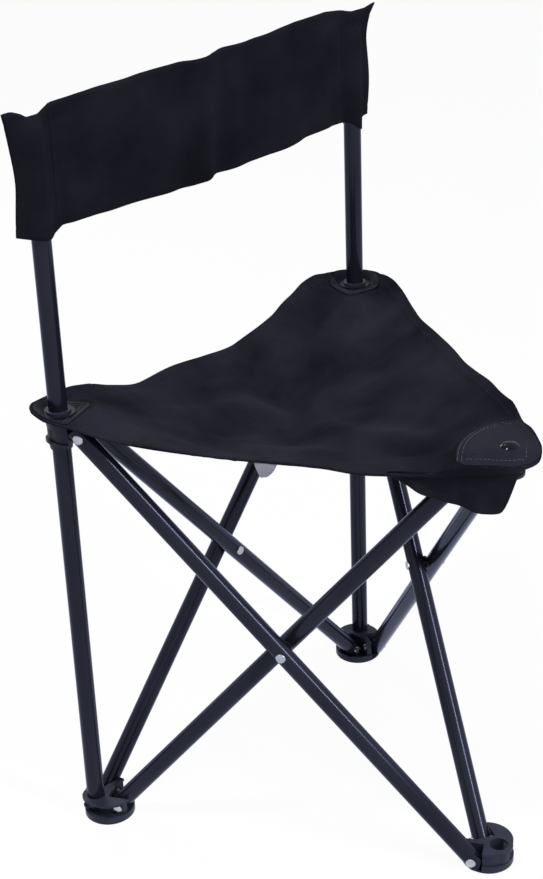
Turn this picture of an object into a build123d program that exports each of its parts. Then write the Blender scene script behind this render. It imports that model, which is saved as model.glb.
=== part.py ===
from build123d import *
from math import cos, radians, sin, sqrt
import os

# Folding three leg stool with a fabric seat and a narrow fabric backrest.
# Units are millimetres. +Z is up, the front corner points to -Y, and the origin is on the floor
# under the middle of the whole stool.

# ---- Frame: three hub axes on an equilateral triangle, joined by three crossed pairs of tubes ----
hub_spacing = 370.0         # between neighbouring hub axes, stool open
pivot_rise = 383.0          # from the foot pivots up to the top pivots, stool open
pivot_inset = 22.0          # from a hub axis to a leg pivot, along the side
crossing_offset = 2.0       # the crossing lies this far outside the line through the hub axes
tube_diameter = 16.0
tube_wall = 1.2
crossing_gap = 2.0          # between two crossing tubes, filled by a spacer
leg_end_radius = 8.3        # rounded leg end, about its pivot
leg_seat_gap = 0.6          # between a leg and the ear that it is riveted to
post_height = 649.5         # top of the posts above the floor

# ---- Hubs: one moulding, used upright as a foot and upside down on top ----
hub_disc_radius = 23.0
hub_disc_offset = 12.0      # disc centre, from the hub axis towards the middle of the stool
hub_base_drop = 11.5        # flat face of the disc below the pivots
hub_disc_thickness = 2.5
hub_disc_chamfer = 1.0
cup_height = 7.0            # rim of the cup around the disc, above the flat face
cup_wall = 2.0
hub_rim_rise = 9.5          # open end of the hub, beyond the pivots
hub_flange_thickness = 2.5
hub_flange_radius = 22.3
hub_waist_radius = 21.0
boss_radius = 12.5
boss_waist_radius = 10.6
ear_thickness = 5.0
ear_start = 12.5            # ears stand clear of the legs from this far along a side
socket_clearance = 0.05     # post in its socket, radial
collar_clearance = 0.2      # sliding collar on its post, radial
collar_nose_length = 7.0
collar_nose_wall = 1.2
neck_radius = 10.5
neck_height = 6.5

# ---- Fasteners ----
rivet_radius = 2.5
rivet_clearance = 0.05
rivet_head_radius = 4.3
rivet_head_height = 2.0
rivet_tail_radius = 3.9
rivet_tail_height = 1.2
spacer_radius = 6.0
screw_radius = 1.4
screw_head_radius = 2.8
screw_head_height = 1.5
screw_reach = 3.0           # screw point beyond the wall of the post
cap_radius = 8.25
cap_height = 3.6
cap_stem_radius = 2.4
cap_tail_radius = 4.5
cap_tail_height = 1.4
ring_radius = 14.0
ring_thickness = 1.6
ring_clearance = 0.1
plug_flange = 1.5
plug_depth = 12.0
plug_clearance = 0.05

# ---- Seat: one sling, held at its corners, that sags between them ----
cloth_thickness = 1.5
patch_thickness = 1.2
corner_radius = 25.0        # rounded seat corner about a hub axis
lobe_start = 36.0           # where the cloth leaves the hub disc, from the hub axis
front_patch_radius = 35.5
rear_patch_reach = 27.0     # tip of a rear patch, from the hub axis
soft_gap = 0.3              # kept between soft pieces that move apart
left_hem_sag = 17.0         # middle of a hem below the corners
back_hem_sag = 19.0
right_hem_sag = -3.0        # stretched, a little proud of the corners
seat_sag = 46.0             # middle of the seat below its corners
sag_rows = (0.0, 0.2, 0.4, 0.7, 1.0)        # shares of the way from a hub disc to the middle
sag_columns = (-1.0, -0.5, 0.0, 0.5, 1.0)   # shares of the way from one hem to the other
sling_thickness = 2.5
tag_width = 22.0
tag_height = 16.0
tag_thickness = 1.0
skirt_depth = 45.0          # flap under the front corner
skirt_reach = 90.0          # along the left side, from the front hub axis
skirt_overhang = 15.0       # beyond the front hub axis, at its upper edge
skirt_corner = 12.0
skirt_stand_off = 24.0      # outside the line through the hub axes
skirt_thickness = 1.5

# ---- Backrest: a band sewn into a sleeve around each post ----
backrest_drop = 87.5        # lower edge below the post tops
backrest_height = 106.0
sleeve_wall = 1.4
fin_width = 11.0            # sewn edge beyond a sleeve
panel_thickness = 3.0

tube_radius = tube_diameter / 2
tube_spacing = tube_diameter + crossing_gap
outer_offset = crossing_offset + tube_spacing / 2
inner_offset = crossing_offset - tube_spacing / 2
triangle_height = hub_spacing * sqrt(3) / 2
hub_circle = hub_spacing / sqrt(3)
leg_span = hub_spacing - 2 * pivot_inset
leg_length = sqrt(leg_span**2 + pivot_rise**2)
foot_pivot_height = hub_base_drop
top_pivot_height = foot_pivot_height + pivot_rise
backrest_bottom = post_height - backrest_drop
disc_top = top_pivot_height + hub_base_drop
hub_floor = hub_disc_thickness - hub_base_drop
outer_ear_face = outer_offset - tube_radius - leg_seat_gap
inner_ear_face = inner_offset + tube_radius + leg_seat_gap
far = 4 * hub_disc_radius

# The front corner and the back edge of the seat stand equally far from the origin.
front_reach = hub_circle + corner_radius
back_reach = triangle_height / 3 + corner_radius
centre_y = (front_reach - back_reach) / 2

corners = ["left", "front", "right"]        # anticlockwise, seen from above
sides = ["left", "right", "back"]           # side i runs from corner i to the next one
corner_angles = {"left": 150, "front": 270, "right": 30}
hem_sags = {"left": left_hem_sag, "right": right_hem_sag, "back": back_hem_sag}


def hub_axis(corner, height=0.0):
    """A point on a hub's axis."""
    angle = radians(corner_angles[corner])
    return Vector(hub_circle * cos(angle), centre_y + hub_circle * sin(angle), height)


def side_frame(side, height=0.0):
    """X runs along a side from its first hub axis, Z is up and Y points into the stool."""
    first = corners[sides.index(side)]
    second = corners[(sides.index(side) + 1) % 3]
    start = hub_axis(first, height)
    return Plane(start, x_dir=hub_axis(second, height) - start, z_dir=(0, 0, 1))


def side_point(side, along, outward, height):
    """A point at a distance along a side, and outward of its line of hub axes."""
    return side_frame(side, height).from_local_coords(Vector(along, -outward, 0))


def corner_frame(corner, height=0.0):
    """X points from a hub axis to the middle of the stool."""
    axis = hub_axis(corner, height)
    return Plane(axis, x_dir=Vector(0, centre_y, height) - axis, z_dir=(0, 0, 1))


def save(name, shape):
    export_step(shape, f"parts/{name}.step")


def rod(start, direction, radius, length):
    """A cylinder from a point along a direction."""
    return Plane(start, z_dir=direction) * Cylinder(
        radius, length, align=(Align.CENTER, Align.CENTER, Align.MIN)
    )


def dome(start, direction, radius, height):
    """A shallow domed head, flat at its start."""
    ball = (radius**2 + height**2) / (2 * height)
    cap = Sphere(ball).moved(Location((0, 0, height - ball)))
    cap = cap & Box(far, far, height, align=(Align.CENTER, Align.CENTER, Align.MIN))
    return Plane(start, z_dir=direction) * cap


def thick_sheet(front, triangles, back):
    """A closed solid between two sheets of points that share their triangles."""
    edges = [(t[i], t[(i + 1) % 3]) for t in triangles for i in range(3)]
    rim = [edge for edge in edges if edge[::-1] not in edges]
    loops = [[front[i] for i in t] for t in triangles]
    loops += [[back[i] for i in reversed(t)] for t in triangles]
    for a, b in rim:
        loops += [[front[b], front[a], back[a]], [front[b], back[a], back[b]]]
    faces = [Face(Wire.make_polygon(loop, close=True)) for loop in loops]
    return Solid(Shell(faces))


# ---- Hubs, in a corner frame at pivot height ----
def ear_frame(turn):
    """A side's frame, in a corner frame: X along the side, Y outward of it."""
    along = Vector(cos(radians(turn * 30)), sin(radians(turn * 30)), 0)
    return Plane((0, 0, 0), x_dir=along, z_dir=(0, 0, turn))


inner_side = ear_frame(-1)      # the leg stands inside its ear on this side
outer_side = ear_frame(1)       # and outside it on that one
corner_align = (Align.MIN, Align.MIN, Align.CENTER)


def slab_from(frame, along, outward, height=2 * far):
    """Everything beyond a point along a side and outward of a line."""
    block = Box(far, far, height, align=corner_align)
    return frame * block.moved(Location((along, outward, 0)))


def hub_layer(disc, boss, low, high):
    """A disc and a boss, merged, between two heights."""
    height = high - low
    base = (Align.CENTER, Align.CENTER, Align.MIN)
    layer = Cylinder(disc, height, align=base).moved(Location((hub_disc_offset, 0, low)))
    return layer + Cylinder(boss, height, align=base).moved(Location((0, 0, low)))


def ear_rivet_holes():
    """Holes on both leg pivots of a hub, and room for the tail behind the outer leg's ear."""
    radius = rivet_radius + rivet_clearance
    holes = []
    for frame in (inner_side, outer_side):
        pivot = frame.from_local_coords(Vector(pivot_inset, 0, 0))
        outward = frame.y_dir
        holes.append(rod(pivot - outward * far / 2, outward, radius, far))
    behind_ear = pivot + outward * (outer_ear_face - ear_thickness)
    recess_depth = rivet_tail_height + rivet_clearance
    holes.append(rod(behind_ear, -outward, rivet_tail_radius + rivet_clearance, recess_depth))
    return holes


def hub_body():
    """The hub without its bore: flat disc, low cup, waisted drum and two ears."""
    base = (Align.CENTER, Align.CENTER, Align.MIN)
    centre = Location((hub_disc_offset, 0, -hub_base_drop))
    cup = Cylinder(hub_disc_radius, cup_height, align=base)
    cup = chamfer(cup.edges().group_by(Axis.Z)[0], hub_disc_chamfer)
    hollow = Cylinder(hub_disc_radius - cup_wall, cup_height, align=base)
    cup = centre * (cup - hollow.moved(Location((0, 0, hub_disc_thickness))))
    outer_leg = slab_from(outer_side, ear_start, outer_ear_face)
    cup = cup - outer_leg.intersect(bore(far, hub_floor, hub_rim_rise))
    cup_rim = cup_height - hub_base_drop
    flange_low = hub_rim_rise - hub_flange_thickness
    lower = hub_layer(hub_disc_radius - cup_wall, boss_waist_radius, hub_floor, cup_rim)
    waist = hub_layer(hub_waist_radius, boss_waist_radius, cup_rim, flange_low)
    flat = inner_ear_face + ear_thickness
    waist = waist - slab_from(inner_side, -far / 2, flat)
    flange = hub_layer(hub_flange_radius, boss_radius, flange_low, hub_rim_rise)
    drum = lower + waist + flange

    # Legs and the open middle: all that is inside the inner leg's ear, up to the other ear.
    inside = inner_side * Box(far, far, 2 * far, align=(Align.MIN, Align.MAX, Align.CENTER)).moved(
        Location((ear_start, inner_ear_face, 0))
    )
    kept_ear = slab_from(outer_side, -far / 2, outer_ear_face - ear_thickness)
    drum = drum - (inside - kept_ear)
    body = cup + (drum - outer_leg)
    for hole in ear_rivet_holes():
        body = body - hole
    return body


def bore(radius, low, high):
    """A hole on the hub axis."""
    base = (Align.CENTER, Align.CENTER, Align.MIN)
    return Cylinder(radius, high - low, align=base).moved(Location((0, 0, low)))


def foot_hub(with_post):
    """A foot: the blind socket takes a post, which a screw holds."""
    socket = bore(tube_radius + socket_clearance, hub_floor, hub_rim_rise)
    foot = hub_body() - socket
    if with_post:
        foot = foot - rod(Vector(-far / 2, 0, 0), (1, 0, 0), screw_radius, far / 2)
    return foot


def top_hub(with_post):
    """The same moulding upside down: a sliding collar at the back, closed at the front."""
    hub = hub_body().rotate(Axis.X, 180)
    low = -hub_rim_rise
    if not with_post:
        hub = hub - bore(tube_radius + socket_clearance, low, -hub_floor)
        return hub - bore(cap_stem_radius + rivet_clearance, low, hub_base_drop)
    nose_low = low - collar_nose_length
    nose_radius = tube_radius + collar_clearance + collar_nose_wall
    base = (Align.CENTER, Align.CENTER, Align.MIN)
    nose = Cone(nose_radius, boss_waist_radius, collar_nose_length, align=base)
    hub = hub + nose.moved(Location((0, 0, nose_low)))
    hub = hub + bore(neck_radius, 0, hub_base_drop + neck_height)
    return hub - bore(tube_radius + collar_clearance, nose_low, hub_base_drop + neck_height)


# ---- Legs, rivets and posts ----
def leg_pivots(side, kind):
    """Foot and top pivot of a leg, on its own centre line."""
    first, last = pivot_inset, hub_spacing - pivot_inset
    if kind == "inner":
        foot, top, offset = first, last, inner_offset
    else:
        foot, top, offset = last, first, outer_offset
    return (
        side_point(side, foot, offset, foot_pivot_height),
        side_point(side, top, offset, top_pivot_height),
    )


def leg(side, kind):
    """A tube with rounded ends and three rivet holes."""
    foot, top = leg_pivots(side, kind)
    length = leg_length + 2 * leg_end_radius
    start = Location((0, 0, -leg_end_radius))
    base = (Align.CENTER, Align.CENTER, Align.MIN)
    tube = Cylinder(tube_radius, length, align=base) - Cylinder(
        tube_radius - tube_wall, length, align=base
    )
    tube = tube.moved(start)
    outline = Box(tube_diameter, far, leg_length, align=base)
    for height in (0, leg_length):
        outline += rod(Vector(-far, 0, height), (1, 0, 0), leg_end_radius, 2 * far)
    tube = tube & outline
    hole_radius = rivet_radius + rivet_clearance
    for height in (0, leg_length / 2, leg_length):
        tube = tube - rod(Vector(-far, 0, height), (1, 0, 0), hole_radius, 2 * far)
    outward = side_frame(side).y_dir * -1
    return Plane(foot, x_dir=outward, z_dir=top - foot) * tube


def riveted(start, outward, grip):
    """A rivet with a domed head at its outer end and a flat tail at the other."""
    shank = rod(start, outward, rivet_radius, grip)
    head = dome(start + outward * grip, outward, rivet_head_radius, rivet_head_height)
    tail = rod(start - outward * rivet_tail_height, outward, rivet_tail_radius, rivet_tail_height)
    return shank + head + tail


def hub_rivets(corner, level):
    """The two rivets that join a hub to its legs."""
    here = corners.index(corner)
    leaving, arriving = sides[here], sides[here - 1]
    height = foot_pivot_height if level == "foot" else top_pivot_height
    near, other = pivot_inset, hub_spacing - pivot_inset
    if level == "foot":
        inner, outer = (leaving, near), (arriving, other)
    else:
        inner, outer = (arriving, other), (leaving, near)
    inner_low = inner_offset - tube_radius
    inner_grip = inner_ear_face + ear_thickness - inner_low
    outer_low = outer_ear_face - ear_thickness
    outer_grip = outer_offset + tube_radius - outer_low
    rivets = []
    for (side, along), low, grip in ((inner, inner_low, inner_grip), (outer, outer_low, outer_grip)):
        outward = side_frame(side).y_dir * -1
        rivets.append(riveted(side_point(side, along, low, height), outward, grip))
    return Compound(rivets)


def crossing(side):
    """Centre rivet through two crossing legs, and the spacer between them."""
    height = (foot_pivot_height + top_pivot_height) / 2
    outward = side_frame(side).y_dir * -1
    low = inner_offset - tube_radius
    rivet = riveted(
        side_point(side, hub_spacing / 2, low, height), outward, tube_spacing + tube_diameter
    )
    start = side_point(side, hub_spacing / 2, inner_offset + tube_radius, height)
    ring = rod(start, outward, spacer_radius, crossing_gap)
    ring = ring - rod(start, outward, rivet_radius + rivet_clearance, crossing_gap)
    return rivet, ring


post_foot = foot_pivot_height + hub_floor


def post(corner):
    """An upright tube, from the floor of its socket into the backrest sleeve."""
    length = post_height - post_foot
    start = hub_axis(corner, post_foot)
    tube = rod(start, (0, 0, 1), tube_radius, length)
    tube = tube - rod(start, (0, 0, 1), tube_radius - tube_wall, length)
    screw = rod(Vector(-far / 2, 0, 0), (1, 0, 0), screw_radius, far / 2)
    return tube - corner_frame(corner, foot_pivot_height) * screw


def post_screw(corner):
    """The screw that holds a post in its foot, driven from outside."""
    length = boss_waist_radius - tube_radius + tube_wall + screw_reach
    shank = rod(Vector(-boss_waist_radius, 0, 0), (1, 0, 0), screw_radius, length)
    head = dome(Vector(-boss_waist_radius, 0, 0), (-1, 0, 0), screw_head_radius, screw_head_height)
    return corner_frame(corner, foot_pivot_height) * (shank + head)


def post_plug(corner):
    """A plug in the top of a post."""
    top = hub_axis(corner, post_height)
    radius = tube_radius - tube_wall - plug_clearance
    stem = rod(top - Vector(0, 0, plug_depth), (0, 0, 1), radius, plug_depth)
    return stem + dome(top, (0, 0, 1), tube_radius, plug_flange)


# ---- Seat ----
def seat_width_at(reach):
    """Half the width of a seat corner, at a distance inward of its hub axis."""
    return (corner_radius + reach * sin(radians(30))) / cos(radians(30))


hem_start = lobe_start * cos(radians(30)) + seat_width_at(lobe_start) * sin(radians(30))


def corner_outline(reach):
    """The rounded corner of the seat, cut straight across at a distance inward."""
    half = seat_width_at(reach)
    tangent_x, tangent_y = -corner_radius * 0.5, corner_radius * sqrt(3) / 2
    edge = Polyline((tangent_x, tangent_y), (reach, half), (reach, -half), (tangent_x, -tangent_y))
    nose = ThreePointArc((tangent_x, -tangent_y), (-corner_radius, 0), (tangent_x, tangent_y))
    return make_face(edge + nose)


def corner_cloth(corner):
    """The flat corner of the sling, on the disc of a top hub."""
    hole = cap_stem_radius if corner == "front" else neck_radius
    cloth = extrude(corner_outline(lobe_start - soft_gap), cloth_thickness)
    cloth = cloth - Cylinder(hole + ring_clearance, far)
    return corner_frame(corner, disc_top) * cloth


def corner_patch(corner):
    """The vinyl patch sewn on a seat corner: round in front, pointed at the back."""
    patch = extrude(corner_outline(lobe_start - soft_gap), patch_thickness)
    if corner == "front":
        patch = patch & Cylinder(front_patch_radius, far)
        hole = cap_stem_radius
    else:
        half = rear_patch_reach
        wedge = Polyline((-far, far), (0, half), (half, 0), (0, -half), (-far, -far), close=True)
        patch = patch & extrude(make_face(wedge), far, both=True)
        hole = neck_radius
    patch = patch - Cylinder(hole + ring_clearance, far)
    return corner_frame(corner, disc_top + cloth_thickness) * patch


def neck_ring(corner):
    """A flat ring on a hub's neck, which holds the sling down."""
    start = hub_axis(corner, disc_top + cloth_thickness + patch_thickness)
    ring = rod(start, (0, 0, 1), ring_radius, ring_thickness)
    return ring - rod(start, (0, 0, 1), neck_radius + ring_clearance, ring_thickness)


def front_cap():
    """The domed snap rivet that clamps the front corner to its hub."""
    seat = hub_axis("front", disc_top + cloth_thickness + patch_thickness)
    disc_under = hub_axis("front", top_pivot_height - hub_floor)
    grip = seat.Z - disc_under.Z
    cap = dome(seat, (0, 0, 1), cap_radius, cap_height)
    cap += rod(disc_under, (0, 0, 1), cap_stem_radius, grip)
    return cap + rod(disc_under, (0, 0, -1), cap_tail_radius, cap_tail_height)


def hem_depth(side, share):
    """Drop of a hem below the corners, at a share of the way from a lobe's hinge to its middle."""
    return hem_sags[side] * (1 - (1 - share) ** 3)


def hem_fall(overhang):
    """How far the sling falls at most between its hem and a line inside of it."""
    return 2 * seat_sag * overhang / (triangle_height / 3 + corner_radius)


def seat_lobe(corner):
    """A third of the hanging sling, from a hub's disc to the middle of the seat."""
    here = corners.index(corner)
    leaving, arriving = sides[here], sides[here - 1]
    frame = corner_frame(corner, disc_top + cloth_thickness)
    half = seat_width_at(lobe_start)
    middle = (hub_spacing - soft_gap) / 2
    inner_tip = frame.from_local_coords(Vector(middle / cos(radians(30)), 0, 0))
    hem_middles = {
        arriving: side_point(arriving, hub_spacing - middle, corner_radius, frame.origin.Z),
        leaving: side_point(leaving, middle, corner_radius, frame.origin.Z),
    }
    points = []
    for row in sag_rows:
        middle_depth = seat_sag * (1 - (1 - row) ** 2)
        for column in sag_columns:
            side = arriving if column > 0 else leaving
            start = frame.from_local_coords(Vector(lobe_start, half * column, 0))
            end = inner_tip + (hem_middles[side] - inner_tip) * abs(column)
            depth = middle_depth + (hem_depth(side, row) - middle_depth) * column**2
            points.append(start + (end - start) * row - Vector(0, 0, depth))
    count = len(sag_columns)
    triangles = []
    for row in range(len(sag_rows) - 1):
        for column in range(count - 1):
            near = row * count + column
            far_side = near + count
            triangles += [(near, far_side, far_side + 1), (near, far_side + 1, near + 1)]
    under = [point - Vector(0, 0, sling_thickness) for point in points]
    return thick_sheet(points, triangles, under)


def seat_tag():
    """A blank cloth tag that hangs below the left hem."""
    middle = (hub_spacing - soft_gap) / 2
    top = disc_top + cloth_thickness - left_hem_sag - sling_thickness - soft_gap
    top -= hem_fall(tag_thickness)
    outward = corner_radius - tag_thickness
    start = side_point("left", middle - tag_width, outward, top)
    along = side_frame("left").x_dir
    triangle = Polyline((0, 0), (tag_width, 0), (tag_width * 0.6, -tag_height), close=True)
    tag = extrude(make_face(triangle), tag_thickness)
    return Plane(start, x_dir=along, z_dir=side_frame("left").y_dir * -1) * tag


def front_skirt():
    """The flap of cloth that hangs below the left hem, in front of the front top hub."""
    hem_overhang = corner_radius - skirt_stand_off + skirt_thickness
    top = disc_top + cloth_thickness - sling_thickness - hem_fall(hem_overhang) - soft_gap
    middle_drop = hem_depth("left", (skirt_reach - hem_start) / (hub_spacing / 2 - hem_start))
    outline = Polyline(
        (-skirt_overhang, 0),
        (0, -skirt_depth + skirt_corner),
        (skirt_corner, -skirt_depth),
        (skirt_reach / 2, -skirt_depth * 0.85),
        (skirt_reach * 0.85, -skirt_depth * 0.55),
        (skirt_reach, -middle_drop - skirt_corner),
        (skirt_reach, -middle_drop),
        (hem_start, 0),
        close=True,
    )
    frame = side_frame("left", top)
    start = side_point("left", hub_spacing, skirt_stand_off - skirt_thickness, top)
    plane = Plane(start, x_dir=frame.x_dir * -1, z_dir=frame.y_dir)
    return plane * extrude(make_face(outline), -skirt_thickness)


def backrest_sleeve(corner):
    """A cloth tube around a post, with a sewn fin beyond it."""
    away = -1 if corner == "left" else 1
    radius = tube_radius + sleeve_wall
    start = hub_axis(corner, backrest_bottom)
    cloth = rod(start, (0, 0, 1), radius, backrest_height)
    fin = Box(
        radius + fin_width, panel_thickness, backrest_height, align=(Align.MIN, Align.CENTER, Align.MIN)
    )
    cloth = cloth + Plane(start, x_dir=(away, 0, 0), z_dir=(0, 0, 1)) * fin
    tip = post_height - backrest_bottom + plug_flange
    return cloth - rod(start, (0, 0, 1), tube_radius, tip)


def backrest_panel():
    """The band between the two sleeves."""
    left, right = hub_axis("left", backrest_bottom), hub_axis("right", backrest_bottom)
    width = hub_spacing - 2 * (tube_radius + sleeve_wall)
    base = (Align.CENTER, Align.CENTER, Align.MIN)
    return Box(width, panel_thickness, backrest_height, align=base).moved(Location((left + right) / 2))


def build():
    for corner in corners:
        with_post = corner != "front"
        foot = corner_frame(corner, foot_pivot_height)
        top = corner_frame(corner, top_pivot_height)
        save(f"foot_hub_{corner}", foot * foot_hub(with_post))
        save(f"top_hub_{corner}", top * top_hub(with_post))
        save(f"foot_rivets_{corner}", hub_rivets(corner, "foot"))
        save(f"top_rivets_{corner}", hub_rivets(corner, "top"))
        save(f"seat_corner_{corner}", corner_cloth(corner))
        save(f"corner_patch_{corner}", corner_patch(corner))
        save(f"seat_lobe_{corner}", seat_lobe(corner))
        if with_post:
            save(f"post_{corner}", post(corner))
            save(f"post_screw_{corner}", post_screw(corner))
            save(f"post_plug_{corner}", post_plug(corner))
            save(f"neck_ring_{corner}", neck_ring(corner))
            save(f"backrest_sleeve_{corner}", backrest_sleeve(corner))
    for side in sides:
        for kind in ("inner", "outer"):
            save(f"leg_{side}_{kind}", leg(side, kind))
        rivet, spacer = crossing(side)
        save(f"crossing_rivet_{side}", rivet)
        save(f"crossing_spacer_{side}", spacer)
    save("front_cap", front_cap())
    save("front_skirt", front_skirt())
    save("seat_tag", seat_tag())
    save("backrest_panel", backrest_panel())


os.makedirs("parts", exist_ok=True)
build()
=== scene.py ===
import math

import bpy
import numpy as np
from mathutils import Matrix, Vector, noise
from mathutils.bvhtree import BVHTree
from mathutils.geometry import delaunay_2d_cdt


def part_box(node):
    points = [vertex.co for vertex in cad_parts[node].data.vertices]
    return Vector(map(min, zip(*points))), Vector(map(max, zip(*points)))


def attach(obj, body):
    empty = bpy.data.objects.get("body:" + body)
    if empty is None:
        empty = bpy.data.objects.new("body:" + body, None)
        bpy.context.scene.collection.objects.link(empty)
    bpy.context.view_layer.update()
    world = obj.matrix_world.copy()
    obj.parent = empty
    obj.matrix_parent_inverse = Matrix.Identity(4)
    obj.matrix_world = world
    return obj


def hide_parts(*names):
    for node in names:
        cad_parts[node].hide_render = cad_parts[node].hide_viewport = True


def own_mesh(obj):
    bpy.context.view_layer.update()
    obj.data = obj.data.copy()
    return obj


# Looks of a folding three leg stool: the finishes of its solid parts, and its seat, corner patches,
# stitching, tag and backrest as cloth.
# Metres. +Z is up and the front corner points to -Y.
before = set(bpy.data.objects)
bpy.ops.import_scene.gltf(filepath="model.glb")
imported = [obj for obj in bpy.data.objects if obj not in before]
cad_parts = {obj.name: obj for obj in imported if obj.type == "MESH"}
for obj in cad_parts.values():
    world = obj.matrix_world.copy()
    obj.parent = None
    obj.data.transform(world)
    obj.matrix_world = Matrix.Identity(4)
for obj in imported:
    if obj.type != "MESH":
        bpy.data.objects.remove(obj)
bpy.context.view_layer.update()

MM = 0.001
scene = bpy.context.scene
UP = Vector((0, 0, 1))

# ---- Places, from the frame ----
CORNERS = ["left", "front", "right"]        # anticlockwise, seen from above
SIDES = ["left", "right", "back"]           # side i runs from corner i to the next one


def middle(node):
    low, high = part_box(node)
    return (low + high) / 2


HUB = {"left": middle("post_left"), "front": middle("front_cap"), "right": middle("post_right")}
HUB = {corner: Vector((place.x, place.y, 0)) for corner, place in HUB.items()}
CENTRE = sum(HUB.values(), Vector()) / 3
SPACING = (HUB["left"] - HUB["right"]).length
INWARD = {corner: (CENTRE - HUB[corner]).normalized() for corner in CORNERS}
ACROSS = {corner: UP.cross(INWARD[corner]) for corner in CORNERS}
DISC_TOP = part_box("seat_corner_front")[0].z
TUBE_RADIUS = (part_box("post_left")[1].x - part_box("post_left")[0].x) / 2
DISC_RADIUS = 23 * MM
DISC_OFFSET = 12 * MM
BOSS_RADIUS = 12.5 * MM
NECK_RADIUS = 10.5 * MM
LOBE_START = 36 * MM        # hinge of a hanging lobe, inward of a hub axis
FOLDED_SPACING = 87 * MM    # between hub axes when the stool is folded


def side_axes(side):
    """Start, direction along a side, and outward of it."""
    first = SIDES.index(side)
    start, end = HUB[CORNERS[first]], HUB[CORNERS[(first + 1) % 3]]
    along = (end - start).normalized()
    return start, along, along.cross(UP)


LEFT_START, LEFT_ALONG, LEFT_OUT = side_axes("left")


def beyond_left(point):
    """How far a flat point is outward of the left side's line of hub axes."""
    return (point - LEFT_START).dot(LEFT_OUT)


def corner_xy(corner, point):
    """A point inward of a hub axis and across it."""
    offset = Vector((point.x, point.y, 0)) - HUB[corner]
    return offset.dot(INWARD[corner]), offset.dot(ACROSS[corner])


def from_corner(corner, x, y):
    """The flat point that is x inward of a hub axis and y across it."""
    return HUB[corner] + INWARD[corner] * x + ACROSS[corner] * y


def nearest_corner(point):
    flat = Vector((point.x, point.y, 0))
    return min(CORNERS, key=lambda corner: (HUB[corner] - flat).length)


def smooth(value, low, high):
    t = min(1.0, max(0.0, (value - low) / (high - low)))
    return t * t * (3 - 2 * t)


def profile(points):
    """A smooth line through a few points, without overshoot."""
    xs = [p[0] for p in points]
    ys = [p[1] for p in points]
    slopes = [(ys[i + 1] - ys[i]) / (xs[i + 1] - xs[i]) for i in range(len(xs) - 1)]
    inner = [
        0.0 if a * b <= 0 else 2 * a * b / (a + b)
        for a, b in zip(slopes[:-1], slopes[1:])
    ]
    tangents = [slopes[0], *inner, slopes[-1]]

    def value(x):
        x = min(xs[-1], max(xs[0], x))
        i = max(0, min(len(xs) - 2, next((k for k in range(len(xs) - 1) if x <= xs[k + 1]), len(xs) - 2)))
        h = xs[i + 1] - xs[i]
        t = (x - xs[i]) / h
        return (
            (2 * t**3 - 3 * t**2 + 1) * ys[i]
            + (t**3 - 2 * t**2 + t) * h * tangents[i]
            + (3 * t**2 - 2 * t**3) * ys[i + 1]
            + (t**3 - t**2) * h * tangents[i + 1]
        )

    return value


# ---- Materials ----
class Nodes:
    """A small helper for node materials."""

    def __init__(self, name):
        self.material = bpy.data.materials.new(name)
        self.material.use_nodes = True
        self.tree = self.material.node_tree
        self.tree.nodes.clear()
        self.output = self.add("ShaderNodeOutputMaterial")
        self.shader = self.add("ShaderNodeBsdfPrincipled")
        self.link(self.shader, "BSDF", self.output, "Surface")

    def add(self, kind, **values):
        node = self.tree.nodes.new(kind)
        for key, value in values.items():
            if hasattr(node, key):
                setattr(node, key, value)
            else:
                node.inputs[key].default_value = value
        return node

    def link(self, a, out, b, into):
        self.tree.links.new(a.outputs[out], b.inputs[into])

    def set(self, **values):
        for key, value in values.items():
            self.shader.inputs[key.replace("_", " ")].default_value = value

    def place(self, scale, source):
        coords = self.add("ShaderNodeTexCoord")
        mapping = self.add("ShaderNodeMapping", Scale=scale)
        self.link(coords, source, mapping, "Vector")
        return mapping

    def noise(self, scale, detail, source="Object", stretch=(1, 1, 1)):
        texture = self.add("ShaderNodeTexNoise", Scale=scale, Detail=detail)
        self.link(self.place(stretch, source), "Vector", texture, "Vector")
        return texture

    def maths(self, operation, *terms):
        """A math node of numbers and of (node, output) pairs."""
        node = self.add("ShaderNodeMath", operation=operation)
        for i, term in enumerate(terms):
            if isinstance(term, tuple):
                self.link(*term, node, i)
            else:
                node.inputs[i].default_value = term
        return node

    def between(self, node, out, low, high, into, start=0.3, end=0.7):
        """A value or colour socket that runs between two values with a texture."""
        if hasattr(low, "__len__"):
            ramp = self.add("ShaderNodeValToRGB")
            for element, place, colour in zip(ramp.color_ramp.elements, (start, end), (low, high)):
                element.position = place
                element.color = (*colour, 1)
            self.link(node, out, ramp, "Fac")
            self.link(ramp, "Color", self.shader, into)
        else:
            ramp = self.add("ShaderNodeMapRange")
            limits = {"From Min": start, "From Max": end, "To Min": low, "To Max": high}
            for socket, value in limits.items():
                ramp.inputs[socket].default_value = value
            self.link(node, out, ramp, "Value")
            self.link(ramp, "Result", self.shader, into)

    def bump(self, node, out, depth, strength, before=None):
        bump = self.add("ShaderNodeBump", Distance=depth, Strength=strength)
        self.link(node, out, bump, "Height")
        if before is not None:
            self.link(before, "Normal", bump, "Normal")
        self.link(bump, "Normal", self.shader, "Normal")
        return bump


def finish(name, clouds, tones, gloss, grain, relief, **shader):
    """A finish: clouds between two tones and two roughnesses, and a fine relief of a grain or the clouds.
    clouds and grain are what noise takes, and relief is a depth and a strength."""
    m = Nodes(name)
    m.set(**shader)
    cloud = m.noise(*clouds)
    m.between(cloud, "Fac", *tones, "Base Color")
    if gloss:
        m.between(cloud, "Fac", *gloss, "Roughness")
    m.bump(m.noise(*grain) if grain else cloud, "Fac", *relief)
    return m.material


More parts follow.
